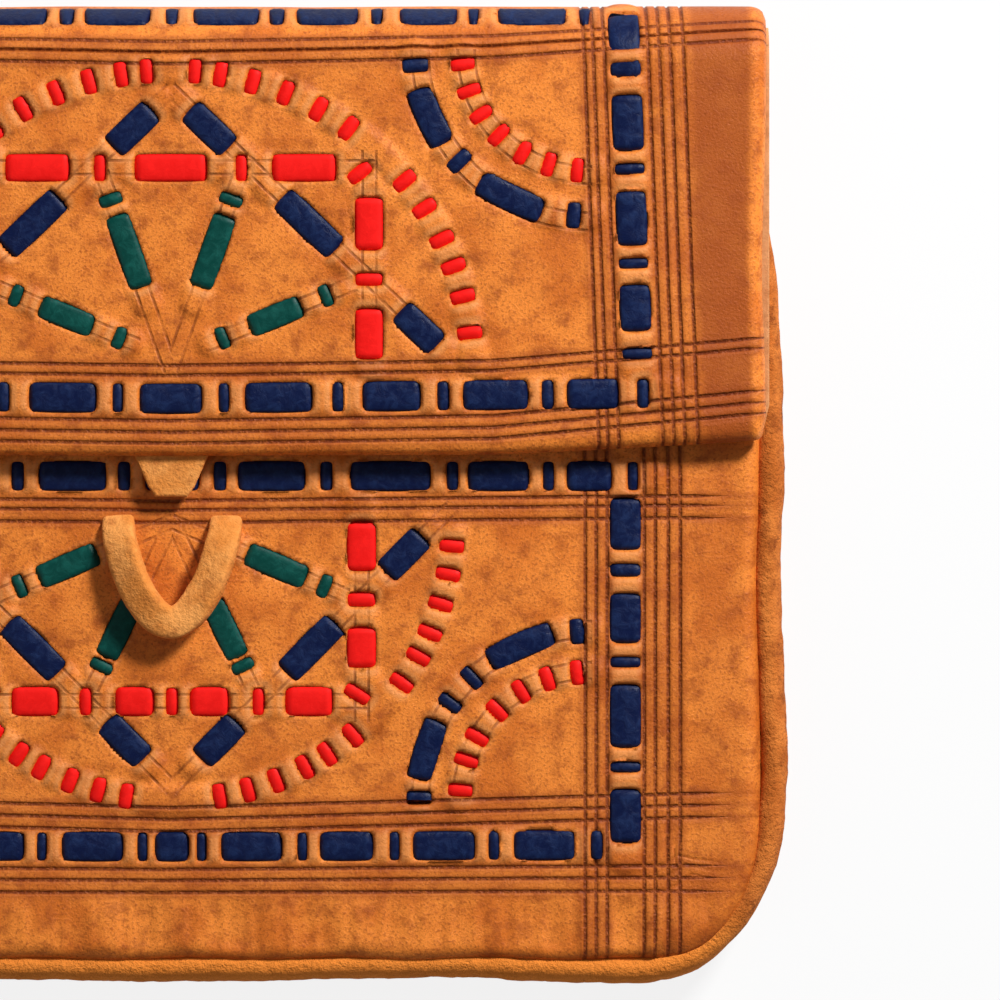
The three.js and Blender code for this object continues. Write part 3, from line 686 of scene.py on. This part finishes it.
pocketColumns = np.linspace(-pocketHalf, pocketHalf, int(2 * pocketHalf / pocketSkinLook["step"]))
seenEnd = flapEdge + 2.0
pocketRows = np.concatenate([np.arange(pocketEdge, seenEnd, pocketSkinLook["step"]),
                             np.linspace(seenEnd, mouthEdge, 24)])
pocketColumns = linedUp(pocketColumns, [sign * line for line in pocketScores["columns"] for sign in (-1, 1)])
pocketRows = linedUp(pocketRows, pocketRowLines)
pocketSkin = skin("pocketSkin", pocketColumns, pocketRows, shapePocket, onPocket, pocketLacing,
                  pocketSkinLook["step"], pocketLeather)
print("skins made", len(flapSkin.data.polygons), len(foldSkin.data.polygons), len(pocketSkin.data.polygons))


# Strips, welt and loop follow paths: one node tree sweeps a soft section along a line of points.
def sweepTree():
    tree = bpy.data.node_groups.new("softSweep", "GeometryNodeTree")
    sockets = {}
    for name, kind in (("Geometry", "Geometry"), ("Width", "Float"), ("Thickness", "Float"), ("Squareness", "Float"),
                       ("Section Points", "Int"), ("Material", "Material")):
        sockets[name] = tree.interface.new_socket(name, in_out="INPUT", socket_type="NodeSocket" + kind).identifier
    tree.interface.new_socket("Geometry", in_out="OUTPUT", socket_type="NodeSocketGeometry")
    base = Wire(tree)
    given = tree.nodes.new("NodeGroupInput")
    wires = {name: Wire(tree, given.outputs[name]) for name in sockets}
    tilt = base.node("GeometryNodeInputNamedAttribute", {"data_type": "FLOAT"}, {"Name": "tilt"})
    line = base.node("GeometryNodeMeshToCurve", {}, {"Mesh": wires["Geometry"]})
    line = base.node("GeometryNodeSetCurveNormal", {"mode": "Z_UP"}, {"Curve": line})
    line = base.node("GeometryNodeSetCurveTilt", {}, {"Curve": line, "Tilt": tilt})
    ring = base.node("GeometryNodeCurvePrimitiveCircle", {"mode": "RADIUS"}, {"Resolution": wires["Section Points"], "Radius": 1.0})
    place = base.node("GeometryNodeInputPosition")
    halves = []
    for axis, size in ((0, wires["Width"]), (1, wires["Thickness"])):
        value = base.node("ShaderNodeSeparateXYZ", {}, {"Vector": place}, axis)
        halves.append(value.maths("SIGN") * value.size().maths("POWER", wires["Squareness"]) * size * 0.5)
    spot = base.node("ShaderNodeCombineXYZ", {}, {"X": halves[0], "Y": halves[1]})
    ring = base.node("GeometryNodeSetPosition", {}, {"Geometry": ring, "Position": spot})
    made = base.node("GeometryNodeCurveToMesh", {}, {"Curve": line, "Profile Curve": ring, "Fill Caps": True})
    made = base.node("GeometryNodeRealizeInstances", {}, {"Geometry": made})
    made = base.node("GeometryNodeSetMaterial", {}, {"Geometry": made, "Material": wires["Material"]})
    result = tree.nodes.new("NodeGroupOutput")
    tree.links.new(made.socket, result.inputs[0])
    return tree, sockets


softSweep, sweepSockets = sweepTree()


def sweep(name, lines, width, thickness, squareness, sectionPoints, material):
    points, edges, tilts = [], [], []
    for line, tilt in lines:
        start = len(points)
        points += (np.asarray(line) * mm).tolist()
        tilts += list(np.broadcast_to(tilt, len(line)))
        edges += [(i, i + 1) for i in range(start, start + len(line) - 1)]
    mesh = bpy.data.meshes.new(name + "Line")
    mesh.from_pydata(points, edges, [])
    mesh.attributes.new("tilt", "FLOAT", "POINT").data.foreach_set("value", np.asarray(tilts, dtype=np.float32))
    made = bpy.data.objects.new(name, mesh)
    bpy.context.scene.collection.objects.link(made)
    modifier = made.modifiers.new("softSweep", "NODES")
    modifier.node_group = softSweep
    values = {"Width": width * mm, "Thickness": thickness * mm, "Squareness": squareness, "Section Points": sectionPoints,
              "Material": material}
    for key, value in values.items():
        modifier[sweepSockets[key]] = value
    graph = bpy.context.evaluated_depsgraph_get()
    result = bpy.data.meshes.new_from_object(made.evaluated_get(graph))
    made.modifiers.clear()
    made.data = result
    build = bmesh.new()
    build.from_mesh(result)
    bmesh.ops.recalc_face_normals(build, faces=build.faces)
    build.to_mesh(result)
    build.free()
    result.shade_smooth()
    return made


stripLook = dict(thickness=0.8, squareness=0.62, sectionPoints=16, spare=0.12, low=1.6, high=0.3, climb=0.55, spacing=0.22)


def stripLine(strip, place):
    start, end = strip["ends"]
    fine = np.linspace(start, end, 400)
    spots = strip["path"](fine)
    lengths = np.concatenate([[0], np.cumsum(np.linalg.norm(np.diff(spots, axis=0), axis=1))])
    count = max(int(lengths[-1] / stripLook["spacing"]), 8)
    at = np.linspace(0, lengths[-1], count)
    s = np.interp(at, lengths, fine)
    spots = strip["path"](s)
    lift = np.zeros(count)
    for middle, length in strip["windows"]:
        away = np.abs(at - np.interp(middle, fine, lengths))
        lift = np.maximum(lift, stepBetween(0.0, stripLook["climb"], length / 2 + 0.12 - away))
    depth = stripLook["low"] + (stripLook["high"] - stripLook["low"]) * lift
    return place(spots[:, 0], spots[:, 1], depth)


farRun = 48.7  # where the far border strip lies on the roll


def laceUp(lacing, place, ending="Strip"):
    made = {}
    for node, (tone, strips) in lacing.items():
        lines = []
        for strip in strips:
            points = stripLine(strip, place)
            onRoll = place is onFlap and node == "flap_border_far"
            tilt = -(farRun - foldLine) / foldRadius if onRoll else 0.0
            lines.append((points, tilt))
        made[node] = sweep(node + ending, lines, strips[0]["width"] + stripLook["spare"], stripLook["thickness"],
                           stripLook["squareness"], stripLook["sectionPoints"], stripMaterials[tone])
    return made


seamRun = 43.9  # the side strips part under a bridge, where the roll begins
flatSide = dict(flapSide, ends=(flapSide["ends"][0], seamRun))
rollSide = dict(flapSide, ends=(seamRun, flapSide["ends"][1]))
flatLacing = dict(flapLacing, flap_border_right=("navy", [flatSide]), flap_border_left=("navy", [mirrored(flatSide)]))
flapStrips = laceUp(flatLacing, onFlap)
rollStrips = laceUp({"flap_border_right": ("navy", [rollSide]), "flap_border_left": ("navy", [mirrored(rollSide)])}, onFlap,
                    "Roll")
rollStrips["flap_border_far"] = flapStrips.pop("flap_border_far")
pocketStrips = laceUp(pocketLacing, onPocket)
print("strips laced", len(flapStrips) + len(pocketStrips))


def smoothLine(points, count):
    t = np.linspace(0, len(points) - 1, count)
    i = np.clip(t.astype(int), 0, len(points) - 2)
    f = (t - i)[:, None]
    before, after = np.maximum(i - 1, 0), np.minimum(i + 2, len(points) - 1)
    a, b, c, d = points[before], points[i], points[i + 1], points[after]
    return 0.5 * (2 * b + (c - a) * f + (2 * a - 5 * b + 4 * c - d) * f ** 2 + (3 * b - a - 3 * c + d) * f ** 3)


# Welt: rough suede piping round the sides and the bottom.
weltLook = dict(width=3.2, thickness=6.6, squareness=0.9, sectionPoints=20, middle=4.6, spacing=0.5, rough=0.16)
weltEdge = np.array([(56.0, 37.2), (57.6, 33.5), (59.3, 29.0), (60.6, 21.6), (61.0, 15.5), (61.3, 7.0), (61.3, -0.5),
                     (61.0, -8.5), (61.5, -20.5), (61.7, -25.5), (61.6, -29.9), (61.0, -35.3), (59.4, -40.1),
                     (56.7, -44.1), (53.2, -47.3), (49.2, -48.7), (45.2, -49.0), (35.8, -48.8), (27.8, -48.5),
                     (14.0, -48.7), (0.0, -48.9)])


def weltOutline(inset):
    right = smoothLine(weltEdge, 300)
    ahead = np.gradient(right, axis=0)
    ahead /= np.linalg.norm(ahead, axis=1)[:, None]
    right = right + inset * np.stack([ahead[:, 1], -ahead[:, 0]], axis=-1)
    right[-1, 0] = 0.0
    return np.concatenate([right, right[-2::-1] * [-1, 1]])


def resampled(points, spacing):
    lengths = np.concatenate([[0], np.cumsum(np.linalg.norm(np.diff(points, axis=0), axis=1))])
    at = np.linspace(0, lengths[-1], int(lengths[-1] / spacing))
    return np.stack([np.interp(at, lengths, points[:, i]) for i in range(points.shape[1])], axis=-1)


def roughen(made, amount, scale, seed):
    mesh = made.data
    spots = np.empty(len(mesh.vertices) * 3, dtype=np.float32)
    mesh.vertices.foreach_get("co", spots)
    spots = spots.reshape(-1, 3)
    normals = np.array([vertex.normal for vertex in mesh.vertices])
    x, y, z = (spots / mm).T
    bulge = ripple(x + 0.7 * z, y - 0.6 * z, scale, seed) + 0.5 * ripple(x - z, y + z, scale * 0.3, seed + 1)
    spots += (normals.T * bulge * amount * mm).T.astype(np.float32)
    mesh.vertices.foreach_set("co", spots.ravel())
    mesh.update()


weltPath = resampled(weltOutline(weltLook["width"] / 2), weltLook["spacing"])
weltPath = np.column_stack([weltPath, np.full(len(weltPath), weltLook["middle"])])
welt = sweep("weltPiping", [(weltPath, 0.0)], weltLook["width"], weltLook["thickness"], weltLook["squareness"],
             weltLook["sectionPoints"], suedes["welt"])
roughen(welt, weltLook["rough"], 9.0, 21)
print("welt made")


# Plain slabs: back panel and linings.
def slab(name, outline, low, high, round, material):
    mesh = bpy.data.meshes.new(name)
    build = bmesh.new()
    corners = [build.verts.new((x * mm, y * mm, low * mm)) for x, y in outline]
    face = build.faces.new(corners)
    grown = bmesh.ops.extrude_face_region(build, geom=[face])
    bmesh.ops.translate(build, verts=[v for v in grown["geom"] if isinstance(v, bmesh.types.BMVert)],
                        vec=(0, 0, (high - low) * mm))
    edges = [edge for edge in build.edges if abs(edge.verts[0].co.z - edge.verts[1].co.z) < 1e-7]
    bmesh.ops.bevel(build, geom=edges, offset=round * mm, segments=3, profile=0.5, affect="EDGES")
    bmesh.ops.recalc_face_normals(build, faces=build.faces)
    build.to_mesh(mesh)
    build.free()
    mesh.materials.append(material)
    made = bpy.data.objects.new(name, mesh)
    bpy.context.scene.collection.objects.link(made)
    place = np.empty(len(mesh.vertices) * 3, dtype=np.float32)
    mesh.vertices.foreach_get("co", place)
    mesh.attributes.new("leatherPlace", "FLOAT_VECTOR", "POINT").data.foreach_set("vector", place / mm)
    mesh.attributes.new("burnish", "FLOAT", "POINT")
    return made


def roundedOutline(half, low, high, across, along, count=24):
    turns = np.linspace(0, math.pi / 2, count)
    corner = np.stack([half - across + across * np.cos(turns), low + along - along * np.sin(turns)], axis=-1)
    right = np.concatenate([[[half, high]], corner])
    return np.concatenate([right, right[::-1] * [-1, 1]])


backLook = dict(thickness=1.2, round=0.45)
backEdge = np.concatenate([[[58.8, foldLine], [59.0, 36.0]], weltEdge[weltEdge[:, 1] < 28.0] * [0.994, 0.994]])
backEdge = smoothLine(backEdge, 90)
backOutline = np.concatenate([backEdge, backEdge[-2::-1] * [-1, 1]])
backSlab = slab("backPanel", backOutline, 0.0, backLook["thickness"], backLook["round"], plainLeather)
frontLook = dict(inset=1.2, cornerAcross=10.5, cornerAlong=13.0, round=0.1)
frontOutline = roundedOutline(liningHigh[0] - frontLook["inset"], liningLow[1] + frontLook["inset"], liningHigh[1],
                              frontLook["cornerAcross"], frontLook["cornerAlong"])
frontLining = slab("frontLining", frontOutline, liningLow[2], liningHigh[2], frontLook["round"], suedes["lining"])


# Flap lining: a thin sheet that follows the skin, its edge showing as a rim.
liningLook = dict(inset=0.5, thickness=0.55, corner=1.5, rim=0.3)


def rolledSlab(name, half, rows, depths, corner, material):
    start = flapEdge + liningLook["inset"]
    columns = np.concatenate([[-half, -half + 0.2], np.linspace(-half + corner, half - corner, 40), [half - 0.2, half]])
    x, run = np.meshgrid(columns, rows)
    pullX, pullY = roundedCorner(x, run, half - np.abs(x), run - start, corner, corner)
    x, run = x - pullX, run + pullY + rowLift(x, run, flapLift)
    top = onFlap(x, run, np.full(x.shape, depths[0])).reshape(-1, 3)
    under = onFlap(x, run, np.full(x.shape, depths[1])).reshape(-1, 3)
    down, over = x.shape
    index = np.arange(down * over).reshape(down, over)
    quads = np.stack([index[:-1, :-1], index[:-1, 1:], index[1:, 1:], index[1:, :-1]], axis=-1).reshape(-1, 4)
    rim = np.concatenate([index[0, :-1], index[:-1, -1], index[-1, :0:-1], index[:0:-1, 0]])
    nextRim = np.roll(rim, -1)
    size = down * over
    walls = np.stack([rim, rim + size, nextRim + size, nextRim], axis=-1)
    faces = quads.tolist() + (quads[:, ::-1] + size).tolist() + walls.tolist()
    return piece(name, np.concatenate([top, under]), faces, material)


liningStart = flapEdge + liningLook["inset"]
liningDepths = (hemDepth + 0.02, hemDepth + liningLook["thickness"])
flatRows = np.concatenate([[liningStart, liningStart + 0.2], np.linspace(liningStart + liningLook["corner"], foldLine, 30)])
flapLining = rolledSlab("flapLining", flapHalf + liningLook["rim"], flatRows, liningDepths, liningLook["corner"],
                        suedes["lining"])
foldLining = rolledSlab("foldLining", flapHalf + liningLook["rim"],
                        np.linspace(foldLine, foldLine + math.pi * foldRadius, 30), liningDepths, liningLook["corner"],
                        suedes["lining"])
print("panels made")

# Closure: a suede strap out of two slits, hanging as a U, and the tongue under the flap.
loopLook = dict(width=3.3, thickness=1.9, squareness=0.42, sectionPoints=24)
loopRight = np.array([(5.4, 0.8, 5.9), (5.4, -2.0, 7.2), (5.3, -3.7, 9.0), (4.95, -5.3, 10.0),
                      (4.3, -7.5, 10.5), (3.2, -9.9, 10.7), (1.7, -11.9, 10.7), (0.0, -12.7, 10.7)])
loopTilts = np.array([0.0, 0.0, 0.1, 0.24, 0.34, 0.36, 0.2, 0.0])
loopTable = np.column_stack([loopRight, loopTilts])
loopTable = np.concatenate([loopTable, loopTable[-2::-1] * [-1, 1, 1, -1]])
loopLine = smoothLine(loopTable, 160)
loop = sweep("closureLoop", [(loopLine[:, :3], loopLine[:, 3])], loopLook["width"], loopLook["thickness"],
             loopLook["squareness"], loopLook["sectionPoints"], suedes["loop"])
roughen(loop, 0.06, 5.0, 31)

tongueLook = dict(rootHalf=4.6, tipHalf=1.6, round=0.3)
tongueOutline = [(tongueLook["rootHalf"], tongueHigh[1]), (tongueLook["rootHalf"] * 0.8, flapEdge),
                 (tongueLook["tipHalf"] + 0.7, tongueLow[1] + 1.0), (tongueLook["tipHalf"], tongueLow[1])]
tongueOutline += [(-x, y) for x, y in reversed(tongueOutline)]
tongue = slab("closureTongue", tongueOutline, tongueLow[2], tongueHigh[2], tongueLook["round"], suedes["loop"])
print("closure made")

# Riding: pieces on the fold have their placing baked into their meshes, everything else stays with its body.
for made in (foldSkin, foldLining, *rollStrips.values()):
    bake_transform(made)
for made in (flapSkin, flapLining, tongue, *flapStrips.values()):
    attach(made, "flap")
for made in pocketStrips.values():
    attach(made, "purse")
for made in (pocketSkin, welt, backSlab, frontLining, loop):
    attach(made, "purse")
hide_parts("flap_panel")
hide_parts("flap_panel", "top_fold")
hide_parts("flap_lining")
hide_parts("flap_lining")
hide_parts("front_panel")
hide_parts("edge_welt")
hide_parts("back_panel")
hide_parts("front_lining")
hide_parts("closure_loop")
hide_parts("closure_tongue")
for strips in (flapStrips, rollStrips, pocketStrips):
    for node, made in strips.items():
        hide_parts(node)
        (flapLacing.get(node) or pocketLacing[node])[0] + "_strip"
print("pieces ride")

# Stage: straight down on a plain white floor, soft light from the upper right.
world = bpy.data.worlds.new("studio")
world.use_nodes = True
bpy.context.scene.world = world
world.node_tree.nodes["Background"].inputs["Color"].default_value = colour(1.0, 1.0, 1.0)
world.node_tree.nodes["Background"].inputs["Strength"].default_value = 0.13

floorMesh = bpy.data.meshes.new("floor")
floorLook = dict(half=0.6, drop=-0.0002, glow=0.85)
floorCorners = [(x * floorLook["half"], y * floorLook["half"], floorLook["drop"])
                for x, y in ((-1, -1), (1, -1), (1, 1), (-1, 1))]
floorMesh.from_pydata(floorCorners, [], [(0, 1, 2, 3)])
floor = bpy.data.objects.new("floor", floorMesh)
bpy.context.scene.collection.objects.link(floor)
floorMaterial, floorBase, floorShader = newMaterial("floorPaper")
seen = floorBase.node("ShaderNodeLightPath", out=0) + floorBase.node("ShaderNodeLightPath", out="Is Glossy Ray")
seen = (seen + floorBase.node("ShaderNodeLightPath", out="Is Transmission Ray")).below(1.0) * floorLook["glow"]
floorTree = floorMaterial.node_tree
glow = floorTree.nodes.new("ShaderNodeEmission")
glow.inputs["Color"].default_value = colour(1.0, 1.0, 1.0)
mixed = floorTree.nodes.new("ShaderNodeMixShader")
floorTree.links.new(seen.socket, mixed.inputs[0])
floorTree.links.new(floorShader.outputs[0], mixed.inputs[1])
floorTree.links.new(glow.outputs[0], mixed.inputs[2])
floorTree.links.new(mixed.outputs[0], floorTree.nodes["Material Output"].inputs["Surface"])
floorShader.inputs["Base Color"].default_value = colour(0.85, 0.85, 0.85)
floorMesh.materials.append(floorMaterial)


def lamp(name, place, aim, size, watts):
    data = bpy.data.lights.new(name, "AREA")
    data.size = size
    data.energy = watts
    made = bpy.data.objects.new(name, data)
    made.location = place
    direction = np.array(aim) - np.array(place)
    made.rotation_euler = Vector(direction).to_track_quat("-Z", "Y").to_euler()
    bpy.context.scene.collection.objects.link(made)


lamp("keyLight", (0.34, 0.39, 0.38), (0.03, 0.0, 0.0), 0.13, 5.3)
lamp("fillLight", (-0.4, -0.2, 0.6), (0.03, 0.0, 0.0), 0.5, 0.5)

cameraData = bpy.data.cameras.new("overhead")
cameraData.lens = 280.0
camera = bpy.data.objects.new("overhead", cameraData)
camera.location = (0.0328, -0.0005, 0.7863)
bpy.context.scene.collection.objects.link(camera)
bpy.context.scene.camera = camera
bpy.context.scene.view_settings.view_transform = "Standard"
print("stage set")
